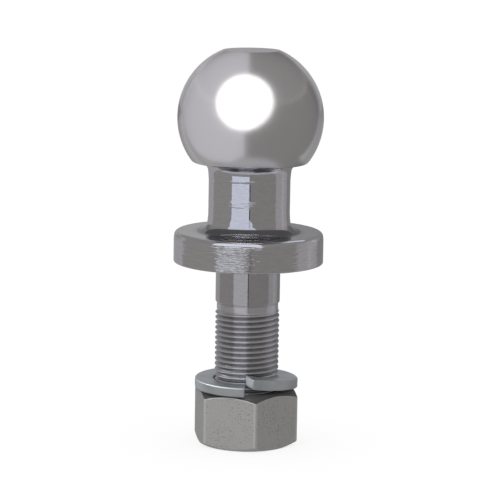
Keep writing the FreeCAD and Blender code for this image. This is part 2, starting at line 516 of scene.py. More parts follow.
def slant_angle(radius):
    """How far round the slanted end has moved back at a radius, in degrees.

    The cut starts at the inner corner and leans by the slant s from the radius there. By the sine
    rule a point at the radius r has turned by s - asin(inner * sin(s) / r).
    """
    slant = math.radians(WASHER_END_SLANT)
    return np.degrees(slant - np.arcsin(WASHER_INNER_RADIUS * math.sin(slant) / radius))


# %% The washer as one closed surface
WASHER_ROUNDING = 0.55
WASHER_LOW_END_ANGLE = -1.8
WASHER_STATIONS = 300
END_BEVEL = 0.14


def spring_washer():
    """Points and faces of the washer: its rounded section at each station, and two flat ends."""
    bevel_angle = math.degrees(END_BEVEL / WASHER_OUTER_RADIUS)
    share = np.linspace(0, 1, WASHER_STATIONS)
    bevel = bevel_angle / WASHER_LENGTH_ANGLE
    starts = [0, 0, bevel, 2 * bevel]
    share = np.concatenate([starts, share[1:-1], 1 - np.array(starts[::-1])])
    share.sort()
    inset = np.zeros(len(share))
    inset[[0, -1]] = 2 * END_BEVEL
    inset[[1, -2]] = END_BEVEL

    inner = WASHER_INNER_RADIUS + inset
    outer = WASHER_OUTER_RADIUS - inset
    low = inset
    high = WASHER_THICKNESS - inset
    corners = [(inner, low), (outer, low), (outer, high), (inner, high)]
    corners = np.stack([np.stack(corner, axis=-1) for corner in corners])
    around = np.concatenate([corners[-1:], corners, corners[:1]])
    section = rounded(around, [WASHER_ROUNDING] * 4, steps=6)[1:-1]

    radius = section[..., 0].clip(WASHER_INNER_RADIUS, None)
    along = share * (WASHER_LENGTH_ANGLE - slant_angle(radius))
    height = WASHER_BOTTOM + section[..., 1] + washer_lift(along)
    angle = np.radians(WASHER_LOW_END_ANGLE - along)
    points = polar(radius, angle, height)[:, ::-1]
    rows, columns = points.shape[:2]
    faces = grid_faces(rows, columns, rows_close=True, columns_close=False).tolist()
    row = np.arange(rows) * columns
    faces += [row.tolist(), (row[::-1] + columns - 1).tolist()]
    return points.reshape(-1, 3), faces


washer = add_piece("washer_turn", *spring_washer(), "washer", "spring_washer", "washer_zinc")

# %% [markdown]
# ## The nut
#
# A nut is a slice of hexagon bar, chamfered on a lathe at both ends. The chamfer is a cone, and
# where it cuts the six flats it leaves the round arcs that every nut shows. In a grid that needs
# no cutting: each column is a slice through the axis at one angle. There the flat is as far out
# as the hexagon is at that angle, and the cone has fallen in step with it.
#
# The bore carries the same thread as the shank, a hair wider, so it can be seen when the nut is
# run down off the shank.


# %% The hexagon
NUT_ACROSS_FLATS = 32.8
NUT_CORNER_ROUNDING = 0.7
NUT_FRONT_CORNER_ANGLE = 10.6


def hexagon_columns():
    """The angles of the nut's columns, close together at the corners, and its radius at each.

    With h the distance from the axis to a flat and d the angle from that flat's middle, the flat
    is h / cos(d) away. Near a corner it is an arc of radius q, whose centre is
    c = (h - q) / cos(30) out: at the angle b from the corner, the radius is
    c cos(b) + sqrt(q^2 - (c sin(b))^2).
    """
    flat = NUT_ACROSS_FLATS / 2
    q = NUT_CORNER_ROUNDING
    centre = (flat - q) / math.cos(math.pi / 6)
    arc_end = math.pi / 6 - math.atan((flat - q) * math.tan(math.pi / 6) / flat)
    on_arc = np.linspace(-arc_end, arc_end, 9)
    beside_arc = arc_end + np.array([0.006, 0.03, 0.08])
    across = np.linspace(beside_arc[-1], math.pi / 3 - beside_arc[-1], 14)[1:-1]
    from_corner = np.concatenate([-beside_arc[::-1], on_arc, beside_arc, across])
    on_corner = np.abs(from_corner) <= arc_end
    from_flat = math.pi / 6 - np.abs(from_corner)
    inside = np.where(on_corner, centre * np.sin(from_corner), 0)
    arc_radius = centre * np.cos(from_corner) + np.sqrt(q**2 - inside**2)
    radius = np.where(on_corner, arc_radius, flat / np.cos(from_flat))
    corner_angle = math.radians(NUT_FRONT_CORNER_ANGLE) + np.arange(6)[:, None] * math.pi / 3
    return (corner_angle + from_corner).ravel(), np.tile(radius, 6)


# %% The nut as one closed surface
NUT_FACE_RADIUS = 15.8
NUT_CHAMFER_ANGLE = 30.0
NUT_EDGE_ROUNDING = 0.4
NUT_BORE_RADIUS = 11.1
NUT_THREAD_DEPTH = THREAD_DEPTH - 0.1
NUT_COUNTERSINK_DEPTH = 0.9
BORE_ROWS = 160
BORE_MARGIN = 0.06


def hex_nut():
    """Points and faces of the nut. Rows go round its section: out below, up, in, and down."""
    angle, outer = hexagon_columns()
    fall = (outer - NUT_FACE_RADIUS) * math.tan(math.radians(NUT_CHAMFER_ANGLE))
    mouth = NUT_BORE_RADIUS + NUT_COUNTERSINK_DEPTH

    nut_height = NUT_TOP - NUT_BOTTOM
    depth = np.linspace(BORE_MARGIN, nut_height - BORE_MARGIN, BORE_ROWS)[:, None]
    height = NUT_TOP - depth
    form = thread_form(turns_above_crest(angle, height))
    thread = NUT_BORE_RADIUS - NUT_THREAD_DEPTH * form
    countersink = mouth - np.minimum(depth, nut_height - depth)
    bore = np.stack(np.broadcast_arrays(np.maximum(thread, countersink), height), axis=-1)

    def level(radius, height):
        """The same corner in every column, unless the radius or the height is given for each."""
        return np.stack(np.broadcast_arrays(radius, height, angle)[:2], axis=-1)

    corners = np.stack(
        [
            bore[-1],
            level(mouth, NUT_BOTTOM),
            level(NUT_FACE_RADIUS, NUT_BOTTOM),
            level(outer, NUT_BOTTOM + fall),
            level(outer, NUT_TOP - fall),
            level(NUT_FACE_RADIUS, NUT_TOP),
            level(mouth, NUT_TOP),
            bore[0],
        ]
    )
    roundings = [SHARP, *[NUT_EDGE_ROUNDING] * 4, SHARP]
    outside = rounded(corners, roundings, steps=4)[1:-1]
    section = np.concatenate([outside, bore])
    points = polar(section[..., 0], angle, section[..., 1])
    faces = grid_faces(*points.shape[:2], rows_close=True).tolist()
    return points.reshape(-1, 3), faces


nut = add_piece("nut_body", *hex_nut(), "nut", "hex_nut", "nut_zinc")

# %% [markdown]
# ## Camera
#
# The photograph was taken from a little above, with a long lens, so upright edges hardly lean.
# The camera stands in front, on the -Y side, looks down by its pitch, and is rolled a degree.

# %% The camera
CAMERA_DISTANCE = 849.24
CAMERA_PITCH = 9.533
CAMERA_ROLL = 0.976
CAMERA_ASIDE = 0.541
AIM_HEIGHT = 4.0
FOCAL_PIXELS = 2470.0
IMAGE_WIDTH = 500
SENSOR_WIDTH = 36.0


def add_camera():
    """A camera that looks along (0, cos p, -sin p) at a point on the object's upright plane."""
    pitch = math.radians(CAMERA_PITCH)
    roll = math.radians(CAMERA_ROLL)
    forward = Vector((0, math.cos(pitch), -math.sin(pitch)))
    upward = Vector((0, math.sin(pitch), math.cos(pitch)))
    sideways = Vector((1, 0, 0))
    right = math.cos(roll) * sideways + math.sin(roll) * upward
    up = -math.sin(roll) * sideways + math.cos(roll) * upward
    place = Vector((CAMERA_ASIDE, 0, AIM_HEIGHT)) - forward * CAMERA_DISTANCE
    data = bpy.data.cameras.new("camera")
    data.sensor_width = SENSOR_WIDTH
    data.lens = FOCAL_PIXELS / IMAGE_WIDTH * SENSOR_WIDTH
    camera = bpy.data.objects.new("camera", data)
    turn = Matrix((right, up, -forward)).transposed().to_4x4()
    camera.matrix_world = Matrix.Translation(place * MM) @ turn
    bpy.context.scene.collection.objects.link(camera)
    bpy.context.scene.camera = camera
    return camera


camera = add_camera()
bpy.context.scene.view_settings.view_transform = "Standard"
print(f"lens {camera.data.lens:.1f} mm at {CAMERA_DISTANCE:.0f} mm")

# %% [markdown]
# ## Metal
#
# Plated steel has hardly a colour of its own: it shows its surroundings, and its finish decides
# how clearly. So each material here is a metal with one pale colour, and what makes it itself
# lies in its roughness and in the fine relief that a Bump node adds.
#
# Two effects serve more than one material, so each is a node group that puts out plain values.
# Turning marks are the fine rings that a lathe tool leaves, and grain is the small unevenness of
# a plated, forged or tumbled surface. Both read Object coordinates, so they stay on the piece
# from every side.


# %% Node helpers
def feed(socket, value):
    """Links a socket to the one that feeds it, or gives it a number, a grey or a colour.

    A node and a socket know the node tree that they are in: it is their id_data.
    """
    if isinstance(value, bpy.types.NodeSocket):
        socket.id_data.links.new(value, socket)
    elif socket.type == "RGBA":
        socket.default_value = (*np.broadcast_to(value, 3), 1)
    else:
        socket.default_value = value


def add_node(tree, kind, **settings):
    """A node of a kind. Each setting is one of its properties, or feeds the input of that name."""
    node = tree.nodes.new(kind)
    for name, value in settings.items():
        if hasattr(node, name):
            setattr(node, name, value)
        else:
            feed(node.inputs[name], value)
    return node


def maths(operation, *values):
    """A Math node. Each value is a number or a socket that feeds it, and one is a socket."""
    tree = next(value.id_data for value in values if isinstance(value, bpy.types.NodeSocket))
    node = add_node(tree, "ShaderNodeMath", operation=operation)
    for socket, value in zip(node.inputs, values):
        feed(socket, value)
    return node.outputs[0]


def object_place(tree):
    """A point in Object coordinates, its x, y and z, and its distance from the axis.

    The distance is sqrt(x^2 + y^2).
    """
    place = add_node(tree, "ShaderNodeTexCoord").outputs["Object"]
    x, y, z = add_node(tree, "ShaderNodeSeparateXYZ", Vector=place).outputs
    squares = maths("ADD", maths("MULTIPLY", x, x), maths("MULTIPLY", y, y))
    return place, x, y, z, maths("SQRT", squares)


def ramp(value, stops):
    """A Color Ramp that runs straight through stops of (value, grey or colour).

    A Color Ramp works from 0 to 1, so a Map Range node first brings the stops to that range.
    """
    start, end = stops[0][0], stops[-1][0]
    span = {"From Min": start, "From Max": end}
    part = add_node(value.id_data, "ShaderNodeMapRange", Value=value, **span).outputs["Result"]
    node = add_node(value.id_data, "ShaderNodeValToRGB", Fac=part)
    elements = node.color_ramp.elements
    while len(elements) < len(stops):
        elements.new(0.5)
    for element, (stop, colour) in zip(elements, stops):
        element.position = (stop - start) / (end - start)
        element.color = (*np.broadcast_to(colour, 3), 1)
    return node.outputs["Color"]


def ramp_mm(length, stops):
    """A ramp over a length in metres, whose stops are in millimetres."""
    return ramp(length, [(stop * MM, colour) for stop, colour in stops])


def blend(share, colour, other):
    """A Mix node between two colours, where a share of 1 gives the other one."""
    values = {"Factor": share, "A": colour, "B": other}
    return add_node(share.id_data, "ShaderNodeMix", data_type="RGBA", **values).outputs["Result"]


def noise(place, scale, detail, roughness=0.5, **settings):
    """Noise from 0 to 1 over a place. Detail is how many finer layers are added to it."""
    values = {"Scale": scale, "Detail": detail, "Roughness": roughness}
    node = add_node(place.id_data, "ShaderNodeTexNoise", **settings, Vector=place, **values)
    return node.outputs["Fac"]


def join_shaders(kind, first, second, **settings):
    """An Add Shader or a Mix Shader node, whose last two inputs are the two shaders."""
    node = add_node(first.id_data, kind, **settings)
    for socket, shader in zip(list(node.inputs)[-2:], (first, second)):
        feed(socket, shader.outputs[0])
    return node


def new_group(name, inputs, outputs):
    """An empty node group with number inputs, given as name and default, and value outputs."""
    group = bpy.data.node_groups.new(name, "ShaderNodeTree")
    for label, default in inputs.items():
        socket = group.interface.new_socket(label, in_out="INPUT", socket_type="NodeSocketFloat")
        socket.default_value = default
    for label in outputs:
        group.interface.new_socket(label, in_out="OUTPUT", socket_type="NodeSocketFloat")
    return group, add_node(group, "NodeGroupInput").outputs


# %% The group that makes turning marks
def turning_marks_group():
    """Rings round the axis, as a value from 0 to 1 that changes quickly up and out, not round.

    Noise is read at (height, distance from the axis) times the density, and at the cosine and
    sine of the angle times a small number, so a ring stays nearly the same all the way round and
    closes on itself.
    """
    group, given = new_group(
        "turning_marks", {"Density": 4000.0, "Variation": 1.0}, ["Marks", "Patches"]
    )
    place, x, y, z, reach = object_place(group)
    near_axis = maths("MAXIMUM", reach, 0.0001)
    sine, cosine = (
        maths("MULTIPLY", maths("DIVIDE", part, near_axis), given["Variation"]) for part in (x, y)
    )
    up, out = (maths("MULTIPLY", part, given["Density"]) for part in (z, reach))
    join = add_node(group, "ShaderNodeCombineXYZ", X=up, Y=out, Z=sine)
    marks = noise(join.outputs[0], 1.0, 1.0, noise_dimensions="4D", W=cosine)
    patches = noise(place, 420.0, 4.0, 0.65)
    add_node(group, "NodeGroupOutput", Marks=marks, Patches=patches)
    return group


# %% The group that makes grain
def grain_group():
    """Fine and broad unevenness, and pits, each from 0 to 1.

    The pits are the middles of scattered cells. They show only where the broad noise is high, so
    they gather in patches.
    """
    group, given = new_group("grain", {"Specks": 2200.0, "Cells": 900.0}, ["Fine", "Broad", "Pits"])
    place = add_node(group, "ShaderNodeTexCoord").outputs["Object"]
    fine = noise(place, given["Specks"], 3.0, 0.6)
    broad = noise(place, 90.0, 3.0)
    cells = add_node(
        group, "ShaderNodeTexVoronoi", Vector=place, Scale=given["Cells"], Randomness=1.0
    )
    away = maths("MULTIPLY", cells.outputs["Distance"], 3.2)
    middles = maths("MAXIMUM", maths("SUBTRACT", 1.0, away), 0.0)
    patchy = maths("MULTIPLY", maths("SUBTRACT", broad, 0.33), 6.0)
    patches = maths("MINIMUM", maths("MAXIMUM", patchy, 0.0), 1.0)
    pits = maths("MULTIPLY", middles, patches)
    add_node(group, "NodeGroupOutput", Fine=fine, Broad=broad, Pits=pits)
    return group


turning_marks = turning_marks_group()
grain = grain_group()
print("node groups:", turning_marks.name, grain.name)


# %% A metal to start from
def new_metal(name, colour, metallic=1.0):
    """A material with one Principled shader, its node tree, and the shader's inputs."""
    material = bpy.data.materials.new(name)
    material.use_nodes = True
    tree = material.node_tree
    surface = tree.nodes["Principled BSDF"].inputs
    feed(surface["Base Color"], colour)
    surface["Metallic"].default_value = metallic
    return material, tree, surface


def place_group(tree, group, **values):
    """What a group puts out in a material, with its own values."""
    return add_node(tree, "ShaderNodeGroup", node_tree=group, **values).outputs


def rough_between(surface, value, smooth, rough, start=0.3, end=0.7):
    """Roughness that grows from smooth to rough as a value goes from start to end."""
    feed(surface["Roughness"], ramp(value, [(start, smooth), (end, rough)]))


def add_bump(surface, height, distance):
    """Relief from a height between 0 and 1: distance is how far 1 stands above 0, in metres."""
    values = {"Strength": 1.0, "Distance": distance, "Height": height}
    bump = add_node(height.id_data, "ShaderNodeBump", **values)
    feed(surface["Normal"], bump.outputs["Normal"])


def shaded(colour, share):
    """A colour times a share."""
    return [share * part for part in colour]


slots = {slot["slot"]: slot["base_color"] for slot in record["materials"]}
CHROME = slots["chrome_forging"]
WASHER_ZINC = slots["washer_zinc"]
NUT_ZINC = slots["nut_zinc"]
print("chrome", CHROME, "washer", WASHER_ZINC, "nut", NUT_ZINC)

# %% [markdown]
# ### Chrome
#
# The ball is polished until it is smooth and a little soft, so its reflections have blurred
# edges. The neck, the flange and the plain shank are chromed over their turning marks: clear
# reflections, broken up by short level lines. The corner at the neck's foot is painted darker,
# as painted shade. The thread is rolled and then plated, and its grooves are painted darker as
# painted shade.
#
# A texture painted by hand could hold all this, but rings, corners and grooves lie at known
# heights and distances from the axis, so each is a formula of the place.


# %% The polished ball
def polished_chrome():
    """Smooth chrome whose reflections have soft edges, with hardly any unevenness.

    Its specular tint dims what is mirrored at a flat angle. Without it the round lamp, seen from
    behind, lies white along the ball's rim, and the outline is lost against the white background.
    """
    material, tree, surface = new_metal("polished_chrome", CHROME)
    marks = place_group(tree, turning_marks, Density=900.0, Variation=0.6)
    rough_between(surface, marks["Patches"], 0.195, 0.215)
    surface["Specular Tint"].default_value = (0.45, 0.45, 0.45, 1)
    add_bump(surface, marks["Marks"], 0.0000015)
    return material


# %% The turned chrome
MARKS_BY_HEIGHT = [
    (-20.0, 0.16), (-0.5, 0.16), (0.3, 0.9), (8.8, 0.9), (9.6, 0.0),
    (15.5, 0.0), (17.5, 0.05), (20.3, 0.06), (20.8, 0.5), (22.3, 0.5),
    (22.8, 0.07), (28.9, 0.06), (29.1, 0.5), (29.5, 0.5), (29.7, 0.05),
    (36.0, 0.05),
]
# How dark the corner at the neck's foot is painted: painted shade.
CORNER_SHADE = 0.8


def turned_chrome(name, shade=1.0):
    """Chrome over turning marks: level lines in the relief, in the roughness and in the colour.

    The flange's side keeps the most marks and the neck the least, but for two rings where the
    tool rested. So the strength of the marks is read from the height through a ramp. In the
    corner between the neck and the flange, which is low and near the axis, the colour is painted
    darker, as painted shade.
    """
    metal = shaded(CHROME, shade)
    material, tree, surface = new_metal(name, metal)
    marks = place_group(tree, turning_marks, Density=2300.0, Variation=7.0)["Marks"]
    z, reach = object_place(tree)[3:]
    # low and near mark the corner at the neck's foot, whose colour is painted darker as painted
    # shade.
    low = ramp_mm(z, [(9.6, 0), (10.0, 1), (12.0, 1), (13.8, 0)])
    near = ramp_mm(reach, [(18.5, 1), (20.0, 0)])
    lines = ramp(marks, [(0.3, shaded(metal, 0.95)), (0.6, shaded(metal, 1.02))])
    corner = maths("MULTIPLY", low, near)
    feed(surface["Base Color"], blend(corner, lines, shaded(metal, CORNER_SHADE)))
    relief = maths("MULTIPLY", marks, ramp_mm(z, MARKS_BY_HEIGHT))
    rough_between(surface, relief, 0.05, 0.08, start=0.02, end=0.6)
    add_bump(surface, relief, 0.00022)
    return material


# %% The rolled thread
def thread_chrome():
    """Duller chrome, painted darker deep in the grooves as painted shade."""
    material, tree, surface = new_metal("thread_chrome", CHROME)
    fine = place_group(tree, grain, Specks=2600.0, Cells=900.0)["Fine"]
    reach = object_place(tree)[-1]
    # The grooves are painted down to half the chrome's colour: painted shade.
    groove = THREAD_CREST_RADIUS - THREAD_DEPTH
    bright = groove + 0.35 * THREAD_DEPTH
    colour = ramp_mm(reach, [(groove, shaded(CHROME, 0.5)), (bright, CHROME)])
    feed(surface["Base Color"], colour)
    rough_between(surface, fine, 0.12, 0.24)
    add_bump(surface, fine, 0.000006)
    return material


# %% [markdown]
# ### Zinc
#
# The washer and the nut are zinc plated. The washer has a bluish, silky finish, and its two ends
# are rough, as the shear left them, and painted a little paler as painted highlight. Along the
# joint with the nut, the washer is painted dark as painted shade. The nut was forged and tumbled,
# so it is duller, with fine grain all over and small pits that gather in patches. Its edges are
# painted paler as painted highlight, and its top chamfer under the washer is painted darker as
# painted shade.
#
# Painted shade and painted highlight could follow how hollow or how sharp a place is. Here the
# joint and the edges lie at known places, so a ramp over the height or the distance from the axis
# is enough.


# %% The washer's zinc
def washer_zinc():
    """Bluish satin zinc with clouds of lighter and darker plating, and painted shade in the joint
    below.

    The painted shade reaches from the washer's lower face to 0.62 mm above it, and fades from 0.2
    mm on.
    """
    material, tree, surface = new_metal("washer_zinc", WASHER_ZINC)
    texture = place_group(tree, grain, Specks=1800.0, Cells=700.0)
    clouds = [(0.35, shaded(WASHER_ZINC, 0.88)), (0.65, shaded(WASHER_ZINC, 1.08))]
    z = object_place(tree)[3]
    # The washer's lower edge is painted nearly black here: painted shade where it sits on the nut.
    joint_shade = ramp_mm(z, [(WASHER_BOTTOM + 0.2, 1), (WASHER_BOTTOM + 0.62, 0)])
    colour = blend(joint_shade, ramp(texture["Broad"], clouds), shaded(WASHER_ZINC, 0.2))
    feed(surface["Base Color"], colour)
    rough_between(surface, texture["Fine"], 0.30, 0.42)
    add_bump(surface, texture["Fine"], 0.00002)
    return material


# %% The washer's sheared ends
def sheared_zinc():
    """The same zinc on the two sheared ends, which are rough, painted a tenth paler as painted
    highlight.
    """
    # The ends are painted 1.1 times as pale as the washer: painted highlight.
    material, tree, surface = new_metal("sheared_zinc", shaded(WASHER_ZINC, 1.1))
    fine = place_group(tree, grain, Specks=1500.0, Cells=700.0)["Fine"]
    rough_between(surface, fine, 0.55, 0.66)
    add_bump(surface, fine, 0.00003)
    return material


# %% The nut's zinc
def nut_zinc():
    """Dull grey zinc: fine grain all over, pits that are deeper and darker, and painted edge
    highlights.

    An edge is painted paler, as painted highlight, where a point is nearly as far out as a corner,
    or just below the cone of the top chamfer. The top chamfer, under the washer, is painted darker
    as painted shade.
    """
    material, tree, surface = new_metal("nut_zinc", NUT_ZINC, 0.9)
    texture = place_group(tree, grain, Specks=2400.0, Cells=1500.0)
    z, reach = object_place(tree)[3:]
    down = maths("SUBTRACT", NUT_TOP * MM, z)
    past_face = maths("SUBTRACT", reach, NUT_FACE_RADIUS * MM)
    fall = maths("MULTIPLY", past_face, math.tan(math.radians(NUT_CHAMFER_ANGLE)))
    below_cone = maths("SUBTRACT", down, fall)
    # The arcs below the top chamfer and the six corners are painted paler: painted highlight.
    arcs = ramp_mm(below_cone, [(0.04, 0), (0.10, 0.7), (0.2, 0.7), (0.36, 0)])
    corners = ramp_mm(reach, [(18.42, 0), (18.7, 0.7)])
    edge_highlight = maths("MAXIMUM", arcs, corners)
    colour = ramp(texture["Pits"], [(0.0, NUT_ZINC), (0.6, shaded(NUT_ZINC, 0.36))])
    colour = blend(edge_highlight, colour, shaded(NUT_ZINC, 1.3))
    # The top chamfer, under the washer, is painted darker: painted shade.
    top = ramp_mm(below_cone, [(0.02, 0.72), (0.06, 0)])
    colour = blend(top, colour, shaded(NUT_ZINC, 0.35))
    feed(surface["Base Color"], colour)
    rough_between(surface, texture["Fine"], 0.42, 0.58)
    relief = maths("SUBTRACT", texture["Fine"], texture["Pits"])
    add_bump(surface, relief, 0.00009)
    return material


# %% Give each piece its metal
finishes = [
    (ball, polished_chrome()),
    (flange, turned_chrome("flange_chrome")),
    (neck, turned_chrome("neck_chrome")),
    # The plain shank's chrome is a darker copy, 0.86 of the colour: painted shade.
    (threaded_shank, turned_chrome("shank_chrome", shade=0.86)),
    (washer, washer_zinc()),
    (nut, nut_zinc()),
]
for piece, material in finishes:
    piece.data.materials.append(material)
    print(f"{piece.name}: {material.name}")

# %% The thread's own metal below the plain shank
threaded_shank.data.materials.append(thread_chrome())
centres = np.empty(len(threaded_shank.data.polygons) * 3)
threaded_shank.data.polygons.foreach_get("center", centres)
on_thread = centres.reshape(-1, 3)[:, 2] < (THREAD_TOP + THREAD_PITCH) * MM
threaded_shank.data.polygons.foreach_set("material_index", on_thread.astype(np.int32))
print(f"{on_thread.sum()} of {len(on_thread)} faces are thread")

# %% The sheared ends are the washer's last two faces
washer.data.materials.append(sheared_zinc())
for end_face in list(washer.data.polygons)[-2:]:
    end_face.material_index = 1
print(f"the sheared ends have {len(end_face.vertices)} corners each")

# %% [markdown]
# ## Surroundings and floor
#
# The background is plain white, and it lights everything that isn't a mirror evenly. Metal sees
# something else, because a studio isn't white all round. Here it is grey in front, where the
# camera stands, darker behind, dark above and pale below, with one narrow dark gap between two
# screens in front, which draws the thin dark line beside each bright band.
#
# An image of a studio wrapped round the scene would do the same. Built from a few greys, it can
# be read and changed.

# %% The world
FRONT_GREY = (0.335, 0.327, 0.32)
FRONT_RIGHT_GREY = (0.292, 0.285, 0.278)
UPPER_GREY = (0.12, 0.12, 0.125)
BACK_GREY = (0.17, 0.17, 0.175)
BACK_LOW_GREY = (0.255, 0.255, 0.265)
BELOW_GREY = (0.50, 0.50, 0.515)
GAP_GREY = (0.03, 0.03, 0.03)


def make_world():
    """White to the camera and for plain light, and the studio in a metal's reflection.

    A direction (x, y, z) is behind the object as y nears 1, and z is its height. The greys are
    laid over one another: the front, the back, which is paler below the horizon, the ceiling,
    the table, and the gap, where x / -y is small and the height is middling.
    """
    world = bpy.data.worlds.new("studio")
    bpy.context.scene.world = world
    world.use_nodes = True
    tree = world.node_tree
    tree.nodes.clear()
    direction = add_node(tree, "ShaderNodeTexCoord").outputs["Generated"]
    x, y, z = add_node(tree, "ShaderNodeSeparateXYZ", Vector=direction).outputs
    front = ramp(x, [(-0.01, FRONT_GREY), (0.01, FRONT_RIGHT_GREY)])
    back = ramp(z, [(-0.02, BACK_LOW_GREY), (0.02, BACK_GREY)])
    studio = blend(ramp(y, [(0.55, 0), (0.9, 1)]), front, back)
    studio = blend(ramp(z, [(0.40, 0), (0.43, 1)]), studio, UPPER_GREY)
    studio = blend(ramp(z, [(-0.88, 1), (-0.84, 0)]), studio, BELOW_GREY)
    ahead = maths("MAXIMUM", maths("MULTIPLY", y, -1.0), 0.2)
    aside = maths("DIVIDE", x, ahead)
    gap = ramp(aside, [(0, 0), (0.004, 1), (0.044, 1), (0.052, 0)])
    level = ramp(z, [(-0.28, 0), (-0.26, 1), (0.12, 1), (0.14, 0)])
    studio = blend(maths("MULTIPLY", gap, level), studio, GAP_GREY)
    plain = add_node(tree, "ShaderNodeBackground", Color=(1, 1, 1))
    seen = add_node(tree, "ShaderNodeBackground", Color=studio)
    mirrored = add_node(tree, "ShaderNodeLightPath").outputs["Is Glossy Ray"]
    choose = join_shaders("ShaderNodeMixShader", plain, seen, Fac=mirrored)
    add_node(tree, "ShaderNodeOutputWorld", Surface=choose.outputs[0])
    return world


print("world:", make_world().name)


# %% Something that isn't part of the object
def add_stage(name, points, faces):
    """A mesh from points in millimetres, and the empty node tree of its material."""
    mesh = bpy.data.meshes.new(name)
    mesh.from_pydata((points * MM).tolist(), [], faces)
    stage = bpy.data.objects.new(name, mesh)
    bpy.context.scene.collection.objects.link(stage)
    stage.visible_shadow = False
    material = bpy.data.materials.new(name)
    material.use_nodes = True
    material.node_tree.nodes.clear()
    mesh.materials.append(material)
    return stage, material.node_tree


# %% The floor
FLOOR_HALF = 3000.0
FLOOR_GAP = 0.02
FLOOR_GREY = 0.55
FLOOR_GLOW = 0.5
FLOOR_CLEAR = 0.6


def add_floor():
    """A wide plane under the nut, plain white, that keeps a faint shadow of the object.

    To the camera it is partly see-through, so that the nut still shows when it is run down
    below the floor, and from below it is clear, so that the object can be looked at there too.
    """
    corners = np.array([[-1, -1], [1, -1], [1, 1], [-1, 1]]) * FLOOR_HALF
    points = np.column_stack([corners, np.full(4, NUT_BOTTOM - FLOOR_GAP)])
    floor, tree = add_stage("floor", points, [(0, 1, 2, 3)])
    floor.visible_glossy = False
    seen = add_node(tree, "ShaderNodeLightPath").outputs["Is Camera Ray"]
    matt = add_node(tree, "ShaderNodeBsdfDiffuse", Color=FLOOR_GREY)
    glow = maths("MULTIPLY", seen, FLOOR_GLOW)
    glow = add_node(tree, "ShaderNodeEmission", Color=(1, 1, 1), Strength=glow)
    white = join_shaders("ShaderNodeAddShader", matt, glow)
    below = add_node(tree, "ShaderNodeNewGeometry").outputs["Backfacing"]
    share = maths("MAXIMUM", below, maths("MULTIPLY", seen, FLOOR_CLEAR))
    clear = add_node(tree, "ShaderNodeBsdfTransparent")
    choose = join_shaders("ShaderNodeMixShader", white, clear, Fac=share)
    add_node(tree, "ShaderNodeOutputMaterial", Surface=choose.outputs[0])
    return floor


floor = add_floor()
print(f"floor {FLOOR_GAP - NUT_BOTTOM:.2f} mm below the flange's seat")

# %% [markdown]
# ## Soft boxes and glowing sheets
#
# Chrome is lit by what it mirrors, so each bright band on it is the picture of something bright.
# In a studio that is a soft box or a white card, and the photographer moves it until the band
# falls where it should.
#
# Two things do that here. A soft box is a Blender area lamp: one large round box near the camera
# for the ball, and a square one for the zinc. Its brightness is set as radiance, where 1 is as
# bright as the white background, and its power follows: 4 times radiance times area. A glowing
# sheet is a mesh with an Emission shader. It can have any outline, and it also lets through what
# stands behind it, so sheets can overlap and add up.
#
# On a real table one band can't be moved without the others. Light linking can do that: a lamp
# or a sheet reaches only the pieces in its collection. So the ball, the neck, the flange, the
# shank and the zinc each have a set of their own, matched to the photographed reflections.


# %% Which pieces are lit together
def receivers(name, *objects):
    """A collection of the pieces that a set of lamps and sheets lights."""
    collection = bpy.data.collections.new(name)
    for piece in objects:
        collection.objects.link(piece)
    return collection


on_ball = receivers("lit_ball", ball)
on_flange = receivers("lit_flange", flange)
on_neck = receivers("lit_neck", neck)
on_shank = receivers("lit_shank", threaded_shank)
on_turned = receivers("lit_turned", flange, neck, threaded_shank)
on_zinc = receivers("lit_zinc", washer, nut)
on_washer = receivers("lit_washer", washer)
ball_and_washer = receivers("lit_ball_and_washer", ball, washer)

# %% A soft box
STUDIO_RADIUS = 1500.0


def soft_box(name, lit, azimuth, elevation, width, radiance, round_box=False):
    """An area lamp that faces the object from a direction given in degrees.

    Azimuth 0 is in front, where the camera is, and grows towards +X. Width is in millimetres,
    and radiance is a colour.
    """
    rise = math.radians(elevation)
    place = STUDIO_RADIUS * polar(math.cos(rise), math.radians(azimuth), math.sin(rise))
    area = (width * MM) ** 2 * (math.pi / 4 if round_box else 1)
    data = bpy.data.lights.new(name, "AREA")
    data.shape = "DISK" if round_box else "SQUARE"
    data.size = width * MM
    data.color = [part / max(radiance) for part in radiance]
    data.energy = 4 * max(radiance) * area
    lamp = bpy.data.objects.new(name, data)
    towards = Vector(-place).to_track_quat("-Z", "Y").to_matrix().to_4x4()
    lamp.matrix_world = Matrix.Translation(Vector(place * MM)) @ towards
    bpy.context.scene.collection.objects.link(lamp)
    lamp.visible_camera = False
    lamp.light_linking.receiver_collection = lit
    print(f"{name}: {width:.0f} mm across, {data.energy:.2f} W")


BALL_KEY_HALF_ANGLE = math.radians(43.5)
ball_key_width = 2 * STUDIO_RADIUS * math.tan(BALL_KEY_HALF_ANGLE)
soft_box("ball_key", on_ball, -11, 32, ball_key_width, (1.36, 1.36, 1.36), round_box=True)


# %% A glowing sheet
def glowing_sheet(name, lit, points, radiance):
    """A sheet that glows in the mirror of the pieces it lights, and lets everything else through.

    points is a grid, in millimetres.
    """
    faces = grid_faces(*points.shape[:2], columns_close=False).tolist()
    sheet, tree = add_stage(name, points.reshape(-1, 3), faces)
    glow = add_node(tree, "ShaderNodeEmission", Color=radiance, Strength=1.0)
    clear = add_node(tree, "ShaderNodeBsdfTransparent")
    both = join_shaders("ShaderNodeAddShader", glow, clear)
    add_node(tree, "ShaderNodeOutputMaterial", Surface=both.outputs[0])
    sheet.visible_camera = False
    sheet.visible_diffuse = False
    sheet.light_linking.receiver_collection = lit


